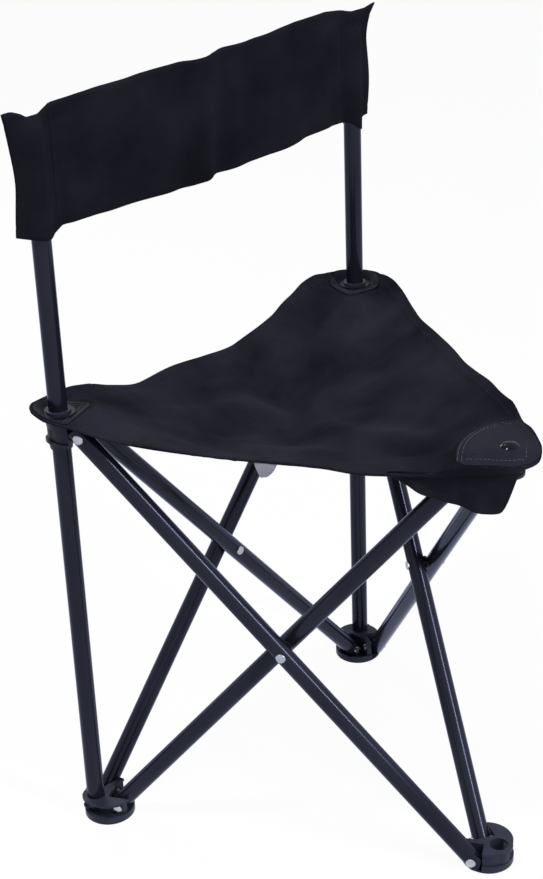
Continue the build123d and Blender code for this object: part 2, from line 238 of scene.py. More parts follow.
def moulded_plastic(name, colour):
    """Satin moulded nylon: fine spark grain and slight cloudiness."""
    tones = [c * 0.85 for c in colour], [c * 1.25 for c in colour]
    return finish(name, (38, 4), tones, (0.29, 0.42), (1700, 2), (0.00006, 0.5),
                  Roughness=0.34, Specular_IOR_Level=0.1, Specular_Tint=(0.7, 0.75, 1.0, 1))


def thread(name, dark, light):
    """Twisted sewing thread."""
    return finish(name, (900, 2, "Object", (1, 3, 1)), (dark, light), None, None, (0.00008, 0.6),
                  Roughness=0.55, Specular_IOR_Level=0.05)


THREAD_PITCH = 0.75 * MM


def woven(name, dark, light):
    """Plain woven polyester: over and under threads, slubs, and slight wear in the colour."""
    m = Nodes(name)
    m.set(Roughness=0.72, Specular_IOR_Level=0.0, Sheen_Weight=0.02, Sheen_Roughness=0.5)
    split = m.add("ShaderNodeSeparateXYZ")
    m.link(m.place((1, 1, 1), "UV"), "Vector", split, "Vector")
    turns = [m.maths("MULTIPLY", (split, axis), math.pi / THREAD_PITCH) for axis in "XY"]
    weave = m.maths("MULTIPLY", *((m.maths("SINE", (turn, "Value")), "Value") for turn in turns))
    height = m.maths("ABSOLUTE", (weave, "Value"))
    slub = m.noise(90, 4, "UV", (1, 6, 1))
    cloud = m.noise(15, 6, "UV")
    mixed = m.maths("MULTIPLY_ADD", (slub, "Fac"), 0.14, (cloud, "Fac"))
    m.between(mixed, "Value", dark, light, "Base Color", 0.40, 0.76)
    m.between(cloud, "Fac", 0.64, 0.8, "Roughness")
    coarse = m.bump(slub, "Fac", 0.00010, 0.3)
    m.bump(height, "Value", 0.00010, 0.55, before=coarse)
    return m.material


def vinyl():
    """Satin vinyl with a fine leather grain."""
    m = Nodes("black_vinyl")
    m.set(Roughness=0.5, Specular_IOR_Level=0.03, Specular_Tint=(0.8, 0.85, 1.0, 1))
    cloud = m.noise(60, 3, "UV")
    m.between(cloud, "Fac", (0.0110, 0.0113, 0.0180), (0.0155, 0.0158, 0.0245), "Base Color")
    m.between(cloud, "Fac", 0.5, 0.64, "Roughness")
    grain = m.add("ShaderNodeTexVoronoi", feature="DISTANCE_TO_EDGE", Scale=1100)
    m.link(m.place((1, 1, 1), "UV"), "Vector", grain, "Vector")
    m.bump(grain, "Distance", 0.00012, 0.5)
    return m.material


PLASTIC = moulded_plastic("satin_black_nylon", (0.0250, 0.0265, 0.0430))
SMALL_PLASTIC = moulded_plastic("black_nylon_small", (0.0085, 0.0087, 0.0130))
TUBE = finish(      # powder coat with slight orange peel and faint rubbed patches
    "gloss_black_coat", (14, 4, "Object", (1, 1, 0.4)),
    ((0.0140, 0.0147, 0.0235), (0.0215, 0.0225, 0.0355)), (0.12, 0.24), (300, 1), (0.00001, 0.2),
    Roughness=0.19, Specular_IOR_Level=0.19, Metallic=0.5, Specular_Tint=(0.62, 0.68, 1.0, 1),
)
ZINC = finish(      # bright plate with faint turning marks
    "zinc_plate", (260, 4), ((0.34, 0.36, 0.42), (0.54, 0.56, 0.63)),
    (0.2, 0.42), (1500, 2, "Object", (1, 1, 0.08)), (0.00004, 0.5), Metallic=1.0, Roughness=0.3,
)
OXIDE = finish(
    "black_oxide", (300, 3), ((0.018, 0.018, 0.021), (0.05, 0.05, 0.055)),
    None, None, (0.00004, 0.4), Metallic=0.85, Roughness=0.42,
)
CAP = finish(
    "gloss_black_cap", (160, 3), ((0.004, 0.004, 0.007), (0.007, 0.007, 0.011)),
    (0.06, 0.08), None, (0.00001, 0.3),
    Roughness=0.07, Specular_IOR_Level=0.12, Specular_Tint=(0.7, 0.75, 1.0, 1),
)
SEAT_CLOTH = woven("seat_polyester", (0.0068, 0.0068, 0.0108), (0.0190, 0.0190, 0.0290))
BACK_CLOTH = woven("backrest_polyester", (0.0062, 0.0064, 0.0098), (0.0120, 0.0122, 0.0182))
VINYL = vinyl()
THREAD = thread("black_thread", (0.010, 0.010, 0.016), (0.020, 0.020, 0.031))
# Light patch thread: partly the thread's own colour, partly a painted highlight for the lit stitched ridges
# between the sunk lines.
PATCH_THREAD_AND_HIGHLIGHT = thread("slate_thread_and_painted_highlight", (0.042, 0.042, 0.060), (0.065, 0.065, 0.090))
TAG = finish(
    "pale_satin_ribbon", (700, 2, "UV", (0.2, 6, 1)), ((0.19, 0.19, 0.235), (0.27, 0.265, 0.32)),
    None, None, (0.00008, 0.5), Roughness=0.5, Sheen_Weight=0.1, Sheen_Roughness=0.4,
)

FINISHES = [
    ("_hub_", PLASTIC), ("post_screw", OXIDE), ("post_plug", SMALL_PLASTIC), ("leg_", TUBE),
    ("post_", TUBE), ("rivet", ZINC), ("spacer", SMALL_PLASTIC), ("neck_ring", SMALL_PLASTIC),
    ("front_cap", CAP),
]
for name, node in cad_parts.items():
    material = next((m for key, m in FINISHES if key in name), SEAT_CLOTH)
    node.data.materials.clear()
    node.data.materials.append(material)


# ---- Mesh helpers ----
def new_object(name, points, faces, material, normals=None, uv=None):
    """A mesh piece. normals and uv have one entry per point, or None where a face is left flat."""
    mesh = bpy.data.meshes.new(name)
    mesh.from_pydata([tuple(p) for p in points], [], faces)
    mesh.materials.append(material)
    mesh.polygons.foreach_set("use_smooth", [True] * len(mesh.polygons))
    if uv is not None:
        layer = mesh.uv_layers.new(name="cloth")
        for loop in mesh.loops:
            layer.data[loop.index].uv = uv[loop.vertex_index][:2]
    if normals is not None:
        mesh.normals_split_custom_set([tuple(normals[loop.vertex_index]) for loop in mesh.loops])
    mesh.update()
    piece = bpy.data.objects.new(name, mesh)
    scene.collection.objects.link(piece)
    return piece


def rim_of(triangles):
    """The open edges of a set of triangles, in their own direction."""
    edges = {(t[i], t[(i + 1) % 3]) for t in triangles for i in range(3)}
    return [edge for edge in edges if edge[::-1] not in edges]


def point_normals(points, triangles):
    """Area weighted normals, as an array."""
    p = np.array(points, float)
    t = np.array(triangles, int)
    face = np.cross(p[t[:, 1]] - p[t[:, 0]], p[t[:, 2]] - p[t[:, 0]])
    normals = np.zeros_like(p)
    for k in range(3):
        np.add.at(normals, t[:, k], face)
    return normals / np.maximum(np.linalg.norm(normals, axis=1), 1e-12)[:, None]


def outward_of(points, triangles, normals):
    """Outward direction at each open edge of a sheet."""
    total = {}
    for a, b in rim_of(triangles):
        edge = points[b] - points[a]
        for i in (a, b):
            total[i] = total.get(i, Vector()) + edge.cross(Vector(normals[i]))
    return {i: v.normalized() for i, v in total.items()}


def thick_piece(name, points, triangles, normals, half, material, uv, hem=None):
    """A closed sheet about a middle surface. half is half its thickness at each point.
    Open edges in hem get a rounded rim, and the others are cut straight."""
    used = sorted({i for t in triangles for i in t})
    index = {old: new for new, old in enumerate(used)}
    p = np.array([points[i] for i in used], float)
    n = np.array([normals[i] for i in used], float)
    h = np.array([half[i] for i in used], float)[:, None]
    count = len(used)
    top, under = p + n * h, p - n * h
    faces = [[index[i] for i in t] for t in triangles]
    faces += [[index[i] + count for i in reversed(t)] for t in triangles]
    verts = [*top, *under]
    norms = [*n, *-n]
    coords = [uv[i] for i in used] * 2
    rounds = {}
    for a, b in rim_of(triangles):
        i, j = index[a], index[b]
        if hem is not None and a in hem and b in hem:
            for old, k in ((a, i), (b, j)):
                if old not in rounds:
                    out = hem[old]
                    rounds[old] = len(verts)
                    verts.append(p[k] + np.array(out) * h[k] * 0.9)
                    norms.append(np.array(out))
                    coords.append(uv[old])
            faces.append([j, i, rounds[a], rounds[b]])
            faces.append([rounds[b], rounds[a], i + count, j + count])
        else:
            faces.append([j, i, i + count, j + count])
    return new_object(name, verts, faces, material, norms, coords)


def capsule(start, end, normal, radius):
    """One stitch: a short rounded bar that dips into the cloth at its ends."""
    along = end - start
    length = along.length
    along = along.normalized()
    side = along.cross(normal).normalized()
    up = side.cross(along)
    rings = [(0.0, 0.35, -0.6), (0.2, 0.9, 0.1), (0.5, 1.0, 0.35), (0.8, 0.9, 0.1), (1.0, 0.35, -0.6)]
    sides = 6
    points = []
    for share, width, lift in rings:
        centre = start + along * (length * share) + up * (radius * lift)
        for k in range(sides):
            angle = 2 * math.pi * k / sides
            points.append(centre + (side * math.cos(angle) + up * math.sin(angle)) * radius * width)
    faces = []
    for r in range(0, (len(rings) - 1) * sides, sides):
        for k in range(sides):
            after = (k + 1) % sides
            faces.append([r + k, r + after, r + sides + after, r + sides + k])
    faces.append(list(range(sides))[::-1])
    faces.append([(len(rings) - 1) * sides + k for k in range(sides)])
    return points, faces


def stitches_object(name, runs, material, radius):
    """All the stitches of one piece: runs is a list of (start, end, normal)."""
    points, faces = [], []
    for start, end, normal in runs:
        more, loops = capsule(start, end, normal, radius)
        faces += [[i + len(points) for i in loop] for loop in loops]
        points += more
    return new_object(name, points, faces, material)


def grid_triangles(rows, columns):
    """Triangles between rows of points, each with one point more than it has columns."""
    triangles = []
    for i in range(rows):
        for j in range(columns):
            a = i * (columns + 1) + j
            b = a + columns + 1
            triangles += [(a, a + 1, b + 1), (a, b + 1, b)]
    return triangles


# ---- Seat: the flat cut ----
HEM_REACH = 25 * MM         # hem, outward of the line of hub axes
NOSE_RADIUS = 25 * MM
GRID = 4.6 * MM
HEM_WIDTH = 7 * MM
HEM_ROWS = [0.0, 2.2 * MM, 4.8 * MM, 6.6 * MM, 8.2 * MM, 12.5 * MM]
STRIP = 27.5 * MM           # half width of the part of a corner that stays flat when folded
CLOTH_HALF = 0.75 * MM
HEM_HALF = 1.25 * MM
SEAT_HOLE = {"left": NECK_RADIUS + 0.1 * MM, "front": 2.6 * MM, "right": NECK_RADIUS + 0.1 * MM}
PATCH_HOLE = {"left": NECK_RADIUS + 0.15 * MM, "front": 2.7 * MM, "right": NECK_RADIUS + 0.15 * MM}


def outline(inset, step):
    """The rounded triangle, some way inside the hem, anticlockwise seen from above."""
    points = []
    radius = NOSE_RADIUS - inset
    for corner in CORNERS:
        turns = max(6, int(radius * 2 * math.pi / 3 / step))
        for k in range(turns):
            angle = math.radians(-60 + 120 * k / turns)
            direction = -INWARD[corner] * math.cos(angle) - ACROSS[corner] * math.sin(angle)
            points.append(HUB[corner] + direction * radius)
        side = SIDES[CORNERS.index(corner)]
        start, along, out = side_axes(side)
        count = 2 * max(1, int(round(SPACING / step / 2)))
        for k in range(count):
            points.append(start + along * (SPACING * k / count) + out * (HEM_REACH - inset))
    return points


def edge_distance(point):
    """How far a point is inside the hem."""
    inside = []
    for side in SIDES:
        start, along, out = side_axes(side)
        reach = (point - start).dot(along)
        if 0 <= reach <= SPACING:
            inside.append(HEM_REACH - (point - start).dot(out))
    corner = nearest_corner(point)
    x, _ = corner_xy(corner, point)
    away = (point - HUB[corner]).length
    if not inside or (x < 0 and away < NOSE_RADIUS):
        inside.append(NOSE_RADIUS - away)
    return min(inside)


def circle_points(centre, radius, step):
    count = max(12, int(2 * math.pi * radius / step))
    return [
        centre + Vector((math.cos(2 * math.pi * k / count), math.sin(2 * math.pi * k / count), 0)) * radius
        for k in range(count)
    ]


def line_points(start, end, step):
    count = max(1, int(round((end - start).length / step)))
    return [start.lerp(end, k / count) for k in range(count + 1)]


class BinGrid:
    """Finds whether any of some points lies near a place."""

    def __init__(self, points, reach):
        self.reach = reach
        self.bins = {}
        for p in points:
            self.bins.setdefault((int(p.x // reach), int(p.y // reach)), []).append(p)

    def near(self, place):
        i, j = int(place.x // self.reach), int(place.y // self.reach)
        return any(
            (p - place).length < self.reach
            for a in (i - 1, i, i + 1)
            for b in (j - 1, j, j + 1)
            for p in self.bins.get((a, b), ())
        )


class Cut:
    """A flat cut of cloth in the making: its border, then the lines that its triangles keep to."""

    def __init__(self, border):
        self.points, self.edges = [], []
        self.border = border
        self.chain(border, True)

    def chain(self, line, closed=False):
        base = len(self.points)
        self.points.extend(line)
        self.edges.extend((base + k, base + k + 1) for k in range(len(line) - 1))
        if closed:
            self.edges.append((base + len(line) - 1, base))

    def fill(self, middle_point, step, reach, gap, allowed=lambda p: True):
        """An even field of points about a place, away from those that are there."""
        taken = BinGrid(self.points, gap)
        for i in range(-reach, reach + 1):
            for j in range(-reach, reach + 1):
                offset = Vector((step * (i + 0.5 * (j % 2)), step * math.sqrt(3) / 2 * j, 0))
                if allowed(middle_point + offset) and not taken.near(middle_point + offset):
                    self.points.append(middle_point + offset)

    def triangles(self, kept):
        """Points and triangles, face up, of the places that kept agrees with."""
        verts, _, faces, _, _, _ = delaunay_2d_cdt(
            [p.to_2d() for p in self.points], self.edges, [list(range(len(self.border)))], 1, 1e-6
        )
        made = [Vector((v.x, v.y, 0)) for v in verts]
        found = []
        for face in faces:
            if kept(sum((made[i] for i in face), Vector()) / 3):
                a, b, c = (made[i] for i in face)
                found.append(tuple(face if (b - a).cross(c - a).z > 0 else face[::-1]))
        return made, found


def seat_cut():
    """Flat points and triangles of the sling, with its fold lines as edges."""
    cut = Cut(outline(0.0, GRID))
    for inset in HEM_ROWS[1:]:
        cut.chain(outline(inset, GRID), True)
    for corner in CORNERS:
        cut.chain(circle_points(HUB[corner], SEAT_HOLE[corner], 2.2 * MM), True)
        rim = circle_points(from_corner(corner, DISC_OFFSET, 0), DISC_RADIUS + 0.8 * MM, 2.4 * MM)
        cut.points.extend(p for p in rim if edge_distance(p) > 1.5 * MM)
        half = (HEM_REACH + LOBE_START * 0.5) / math.cos(math.radians(30))
        fold = [from_corner(corner, LOBE_START, y) for y in (-half, half)]
        cut.chain(line_points(*fold, GRID))
        tip = (STRIP * math.cos(math.radians(30)) - HEM_REACH) / 0.5
        for y in (-STRIP, STRIP):
            edge = from_corner(corner, 0, y)
            cut.chain(line_points(edge + INWARD[corner] * tip, edge + INWARD[corner] * LOBE_START, GRID))
    for side in SIDES:
        start, along, out = side_axes(side)
        cut.chain(line_points(start + along * (SPACING / 2) + out * HEM_REACH, CENTRE, GRID))
    cut.fill(CENTRE, GRID, int(SPACING / GRID) + 6, GRID * 0.62,
             lambda p: abs(p.x) < SPACING and edge_distance(p) > HEM_ROWS[-1] + GRID * 0.6)
    return cut.triangles(lambda p: all((p - HUB[c]).length >= SEAT_HOLE[c] * 0.98 for c in CORNERS))


# Drop of the hem below the corners, along each side from its first hub axis to its last.
HEM_DROP = {
    "left": profile([
        (0, -5), (0.06, -0.5), (0.13, 6.5), (0.2, 10), (0.3, 13), (0.42, 15), (0.6, 16.2), (0.7, 19.5),
        (0.76, 18.4), (0.85, 16.5), (0.93, 12.5), (1, 9.5),
    ]),
    "right": profile([
        (0, -0.5), (0.05, -4.6), (0.09, -3.0), (0.125, -8.6), (0.15, -11.2), (0.18, -10.0), (0.22, -9.2),
        (0.26, -9.8), (0.36, -6.0), (0.42, -4.4), (0.5, -6.2), (0.6, -5.6), (0.7, -4), (0.76, -7.5),
        (0.84, -14.5), (0.89, -16.0), (0.94, -14), (1, -9),
    ]),
    "back": profile([
        (0, -9), (0.04, -11), (0.08, -13.5), (0.12, -11.5), (0.16, -5), (0.2, 0.7), (0.24, 8.4),
        (0.34, 17.6), (0.4, 21.3), (0.48, 19.2), (0.6, 15.6), (0.7, 17.6), (0.79, 8.4), (0.86, -1.8),
        (0.92, -6), (1, -6),
    ]),
}
# Drop of each nose where the one side arrives, at its middle, and where the next side leaves.
NOSE_DROP = {"left": (-6, -8, -5), "front": (9.5, 6.5, -0.5), "right": (-9, -8, -9)}
SEAT_SAG = 46 * MM
FRONT_TURN = 16 * MM        # beyond this, the left hem is turned down under the front patch
BAND_REACH = 52 * MM        # length of that turned band, from the snap rivet
NOSE_PULL = {"left": 2.6 * MM, "front": 1.7 * MM, "right": 1.2 * MM}


def pulled(point):
    """Shift of a flat point: each nose is pulled in, and the left hem turns down by the front patch."""
    corner = nearest_corner(point)
    x, _ = corner_xy(corner, point)
    shift = INWARD[corner] * (NOSE_PULL[corner] * smooth(-x, 2 * MM, HEM_REACH))
    beyond = beyond_left(point)
    free = 8 * MM
    if beyond < free or corner != "front":
        return shift
    edge = HEM_REACH - 0.8 * MM
    if beyond < FRONT_TURN:
        wanted = free + (beyond - free) * (edge - free) / (FRONT_TURN - free)
    else:
        wanted = edge + (beyond - FRONT_TURN) * (HEM_REACH - edge) / (HEM_REACH - FRONT_TURN)
    share = (point - LEFT_START).dot(LEFT_ALONG) / SPACING
    share = smooth(share, 0.76, 0.86) * (1 - smooth(share, 1.0, 1.055))
    return shift + LEFT_OUT * ((wanted - beyond) * share)


def hem_height(point):
    """Height of the hem at a point of the flat outline."""
    for side in SIDES:
        start, along, out = side_axes(side)
        share = (point - start).dot(along) / SPACING
        if -1e-6 <= share <= 1 + 1e-6 and (point - start).dot(out) > HEM_REACH - 1e-4:
            return -HEM_DROP[side](share) * MM
    corner = nearest_corner(point)
    x, y = corner_xy(corner, point)
    turn = math.atan2(y, -x) / math.radians(60)     # 1 at the side that arrives, -1 where one leaves
    arriving, nose, leaving = NOSE_DROP[corner]
    drop = arriving if turn > 0 else leaving
    share = smooth(abs(turn), 0.3, 1.0)
    return -(nose * (1 - share) + drop * share) * MM


def front_reach(angle):
    """How far the front patch's inner border is from the snap rivet, in a direction."""
    turn = (math.degrees(angle) - 15) / 75
    return (38.3 + (8 if turn < 0 else 17) * turn**2) * MM


def within_front(point):
    """How far a flat point is inside the inner border of the front patch."""
    x, y = corner_xy("front", point)
    return front_reach(math.atan2(y, x)) - math.hypot(x, y)


def held_drop(point):
    """Drop of the cloth where a hub's disc carries it or a stiff patch holds it, in mm, or None."""
    corner = nearest_corner(point)
    x, y = corner_xy(corner, point)
    beyond = beyond_left(point) / MM
    turned = corner == "front" and beyond > 12
    on_hub = math.hypot(x - DISC_OFFSET, y) < DISC_RADIUS + 1.0 * MM or math.hypot(x, y) < BOSS_RADIUS
    if on_hub and edge_distance(point) > 3 * MM and not turned:
        return 0.0
    if corner != "front":
        reach = (abs(x) + abs(y)) / MM
        return 1.2 * smooth(reach, 24, 30) if x > 0 and reach < 29 else None
    if within_front(point) < -2 * MM or beyond > FRONT_TURN / MM or edge_distance(point) < 4 * MM:
        return None
    return 6.0 * smooth(beyond, 8, FRONT_TURN / MM + 1) + 5.0 * smooth(x / MM, 30, 62)


def membrane(points, triangles, fixed):
    """Heights of a soap film and of the same film under an even load, held at some points."""
    p = np.array([[v.x, v.y] for v in points])
    t = np.array(triangles, int)
    rows, cols, values = [], [], []
    for k in range(3):
        i, j, opposite = t[:, k], t[:, (k + 1) % 3], t[:, (k + 2) % 3]
        a, b = p[i] - p[opposite], p[j] - p[opposite]
        cot = (a * b).sum(1) / np.maximum(np.abs(a[:, 0] * b[:, 1] - a[:, 1] * b[:, 0]), 1e-12)
        weight = np.maximum(cot / 2, 0.01)
        rows += [i, j]
        cols += [j, i]
        values += [weight, weight]
    rows, cols, values = map(np.concatenate, (rows, cols, values))
    count = len(points)
    total = np.bincount(rows, values, count)
    area = np.zeros(count)
    e1, e2 = p[t[:, 1]] - p[t[:, 0]], p[t[:, 2]] - p[t[:, 0]]
    face_area = np.abs(e1[:, 0] * e2[:, 1] - e1[:, 1] * e2[:, 0]) / 2
    for k in range(3):
        np.add.at(area, t[:, k], face_area / 3)
    held = np.zeros(count, bool)
    level = np.zeros(count)
    for i, z in fixed.items():
        held[i], level[i] = True, z
    free = ~held

    def solve(start, load):
        def apply(x):
            return np.where(free, total * x - np.bincount(rows, values * x[cols], count), 0)

        x = start.copy()
        r = np.where(free, load - apply(x), 0)
        d, rr = r.copy(), (r * r).sum()
        for _ in range(900):
            ad = apply(d)
            step = rr / max((d * ad).sum(), 1e-30)
            x += step * d
            r -= step * ad
            new = (r * r).sum()
            if new < 1e-22:
                break
            d = r + d * (new / rr)
            rr = new
        return x

    film = solve(level, np.zeros(count))
    sagged = solve(np.zeros(count), -area)
    return film, sagged


flat_seat, seat_triangles = seat_cut()
on_hem = {i for edge in rim_of(seat_triangles) for i in edge
          if min((flat_seat[i] - HUB[c]).length for c in CORNERS) > 12 * MM}
drops = [held_drop(p) for p in flat_seat]
held_points = {i: -drop * MM for i, drop in enumerate(drops) if drop is not None}
held_points.update({i: hem_height(flat_seat[i]) for i in on_hem})
film, sagged = membrane(flat_seat, seat_triangles, held_points)
centre_point = min(range(len(flat_seat)), key=lambda i: (flat_seat[i] - CENTRE).length)
load = (-SEAT_SAG - film[centre_point]) / sagged[centre_point]
SURFACE = DISC_TOP + CLOTH_HALF

# Soft creases of the sling: start, end, width on the left and on the right of that line, height. In mm.
CREASES = [
    ((40, 168), (12, 112), 30, 13, -6.5),
    ((20, 118), (26, 84), 18, 11, -5.0),
    ((28, 88), (-34, 36), 12, 15, -6.0),
    ((-112, 147), (8, 112), 8, 12, 3.2),
    ((-96, 94), (24, 86), 11, 15, -3.4),
    ((4, 50), (0, -62), 12, 11, 4.6),
    ((150, 142), (66, 92), 14, 13, 3.8),
    ((160, 122), (84, 36), 13, 10, -3.2),
    ((122, 152), (58, 132), 9, 10, -3.0),
    ((132, 72), (70, 20), 12, 14, 2.8),
    ((-8, -118), (-26, -34), 8, 9, -2.8),
    ((14, -112), (52, -20), 10, 9, 2.4),
    ((-138, 128), (-58, 72), 8, 7, 3.0),
    ((-136, 116), (-72, 38), 7, 8, -2.8),
    ((-126, 104), (-84, 28), 6, 6, 2.2),
    ((-70, 60), (-30, -20), 8, 10, 2.2),
    ((-104, 60), (-72, 30), 5, 6, -1.6),
    ((-80, 20), (-40, 0), 5, 5, 1.5),
    ((96, -10), (60, -30), 7, 6, -1.8),
]
CREASE_DEPTH = 1.7


def creases(point):
    """Height that the soft creases add at a point, in mm."""
    total = 0.0
    for start, end, left_width, right_width, height in CREASES:
        start, end = Vector(start) * MM, Vector(end) * MM
        line = end - start
        offset = point.to_2d() - start
        share = offset.dot(line) / line.length_squared
        if not -0.25 < share < 1.25:
            continue
        beside = (line.x * offset.y - line.y * offset.x) / line.length / MM
        beside += 4 * noise.noise(Vector((point.x * 22, point.y * 22, height)))
        width = left_width if beside > 0 else right_width
        crest = math.exp(1.5 / width - math.sqrt(beside * beside + 2.2) / width)
        ends = smooth(share, -0.25, 0.25) * (1 - smooth(share, 0.75, 1.25))
        total += CREASE_DEPTH * height * crest * ends
    return total


def puckers(point):
    """Soft creases, creases that run out of each corner, small waves along the hems, and dents."""
    total = creases(point)
    for corner in CORNERS:
        x, y = corner_xy(corner, point)
        away = math.hypot(x, y)
        angle = math.atan2(y, x)
        wave = math.sin(angle * 13 + 2.0 * CORNERS.index(corner)) + 0.6 * math.sin(angle * 22 + 1.3)
        total += 1.1 * wave * smooth(away, 42 * MM, 64 * MM) * (1 - smooth(away, 80 * MM, 150 * MM))
    depth = edge_distance(point)
    place = Vector((point.x * 17, point.y * 17, 3.7))
    total += 2.2 * noise.noise(place) + 1.5 * noise.noise(place * 2.7) + 0.9 * noise.noise(place * 6)
    total *= smooth(depth, 0, 40 * MM)
    for corner in CORNERS:
        x, y = corner_xy(corner, point)
        total *= smooth(math.hypot(x - DISC_OFFSET, y) - DISC_RADIUS, 1 * MM, 22 * MM)
    ripple = noise.noise(Vector((point.x * 60, point.y * 60, 9.1)))
    total += 1.3 * ripple * smooth(depth, 0, 12 * MM) * (1 - smooth(depth, 16 * MM, 50 * MM))
    return total * MM


seat_points = []
for i, p in enumerate(flat_seat):
    z = film[i] + load * sagged[i]
    if i not in held_points:
        z += puckers(p)
    place = p + pulled(p)
    seat_points.append(Vector((place.x, place.y, SURFACE + z)))


def averaged(values, pairs, free, rounds):
    """Draws the free rows of an array halfway to the mean of the rows that they are paired with."""
    rows, cols = pairs[:, 0], pairs[:, 1]
    count = np.maximum(np.bincount(rows, minlength=len(values)), 1)
    for _ in range(rounds):
        sums = [np.bincount(rows, values[cols, axis], len(values)) for axis in range(values.shape[1])]
        mean = np.stack(sums, axis=1) / count[:, None]
        values = np.where(free[:, None], (values + mean) / 2, values)
    return values


def relax(points, triangles, fixed, rounds):
    """Evens out the heights of the points that nothing holds."""
    pairs = np.array([(t[k], t[(k + 1) % 3]) for t in triangles for k in range(3)])
    free = np.ones(len(points), bool)
    free[list(fixed)] = False
    heights = np.array([[p.z] for p in points])
    heights = averaged(heights, np.concatenate([pairs, pairs[:, ::-1]]), free, rounds)
    return [Vector((p.x, p.y, z)) for p, (z,) in zip(points, heights)]


still = {i for i, drop in held_points.items() if drop == 0.0 or i in on_hem}
seat_points = relax(seat_points, seat_triangles, still, 3)
seat_normals = point_normals(seat_points, seat_triangles)
seat_half = [
    HEM_HALF if edge_distance(p) < HEM_WIDTH and i not in held_points or i in on_hem else CLOTH_HALF
    for i, p in enumerate(flat_seat)
]
hem_out = outward_of(seat_points, seat_triangles, seat_normals)


flat_tree = BVHTree.FromPolygons([tuple(p) for p in flat_seat], seat_triangles)


def on_cloth(place, lift):
    """Place and normal, some way above the upper face of the hung cloth, of a point of the flat cut."""
    p, _, face, _ = flat_tree.find_nearest(Vector((place.x, place.y, 0)))
    t = seat_triangles[face]
    a, b, c = (flat_seat[i] for i in t)
    whole = (b - a).cross(c - a).z
    wa = (b - p).cross(c - p).z / whole
    wb = (c - p).cross(a - p).z / whole
    weights = (wa, wb, 1 - wa - wb)
    point = sum((seat_points[i] * w for i, w in zip(t, weights)), Vector())
    normal = sum((Vector(seat_normals[i]) * w for i, w in zip(t, weights)), Vector()).normalized()
    thick = sum(seat_half[i] * w for i, w in zip(t, weights))
    return point + normal * (thick + lift), normal


def zone_of(point):
    """The part of the seat that a flat point belongs to: its corner, and lobe, strip or shoulder."""
    corner = nearest_corner(point)
    x, y = corner_xy(corner, point)
    if x > LOBE_START:
        return corner, "lobe"
    if abs(y) < STRIP:
        return corner, "strip"
    return corner, "shoulder_a" if y > 0 else "shoulder_b"


def follow_zone(piece, corner, zone):
    """Rides a soft piece with its part of the seat, and gives it a mesh of its own unless it rides a strip.
    """
    if zone == "lobe":
        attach(piece, f"{corner}_lobe")
        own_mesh(piece)
        return
    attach(piece, f"{corner}_top")
    if zone != "strip":
        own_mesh(piece)


def patch_zone(point):
    """As zone_of, for a stiff patch: it reaches a little past the fold and stays with the strip."""
    corner = nearest_corner(point)
    _, y = corner_xy(corner, point)
    if abs(y) < STRIP or (corner == "front" and y > 0):
        return corner, "strip"
    return corner, "shoulder_a" if y > 0 else "shoulder_b"


def by_zone(triangles, points, zone_at=zone_of):
    parts = {}
    for t in triangles:
        centre = sum((points[i] for i in t), Vector()) / 3
        parts.setdefault(zone_at(centre), []).append(t)
    return parts


seat_uv = [(p.x, p.y) for p in flat_seat]
for (corner, zone), triangles in sorted(by_zone(seat_triangles, flat_seat).items()):
    piece = thick_piece(f"seat_{corner}_{zone}", seat_points, triangles, seat_normals, seat_half,
                        SEAT_CLOTH, seat_uv, hem_out)
    if zone == "lobe":
        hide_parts(f"seat_lobe_{corner}")
    elif zone == "strip":
        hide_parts(f"seat_corner_{corner}")
    follow_zone(piece, corner, zone)


# ---- Corner patches ----
PATCH_THICKNESS = 1.2 * MM
PATCH_THREADS = [1.9 * MM, 5.3 * MM]     # light seam threads, partly a painted highlight on the stitched ridges, inside a patch's sewn border
PATCH_VALLEYS = [3.6 * MM, 7.0 * MM]     # sunk lines beside them
REAR_PATCH_REACH = 27 * MM
REAR_TIP = {"left": (math.radians(17), 1.16), "right": (0.0, 1.0)}     # turn of its tip, share of the reach
PATCH_INSET = 1.3 * MM      # of a patch's outer border, inside the edge of the hem


def in_front_patch(p):
    return within_front(p) > 0 and beyond_left(p) < FRONT_TURN and edge_distance(p) > 1.2 * MM


def rear_tips(corner, grow=0.0):
    """The three tips of a rear patch that its two straight sides join."""
    reach = REAR_PATCH_REACH + grow
    turn, longer = REAR_TIP[corner]
    tip = (INWARD[corner] * math.cos(turn) + ACROSS[corner] * math.sin(turn)) * (reach * longer)
    return [from_corner(corner, 0, -reach), HUB[corner] + tip, from_corner(corner, 0, reach)]


def rear_outline(corner, grow):
    """Two straight sides that meet inward of the hub, and a round nose."""
    low, tip, high = rear_tips(corner, grow)
    nose = NOSE_RADIUS - PATCH_INSET + grow
    points = line_points(low, tip, 2.4 * MM)[:-1] + line_points(tip, high, 2.4 * MM)
    count = 24
    for k in range(1, count):
        angle = math.radians(90 - 180 * k / count)
        side = from_corner(corner, 0, nose * math.sin(angle))
        points.append(side - INWARD[corner] * (nose * math.cos(angle)))
    return points


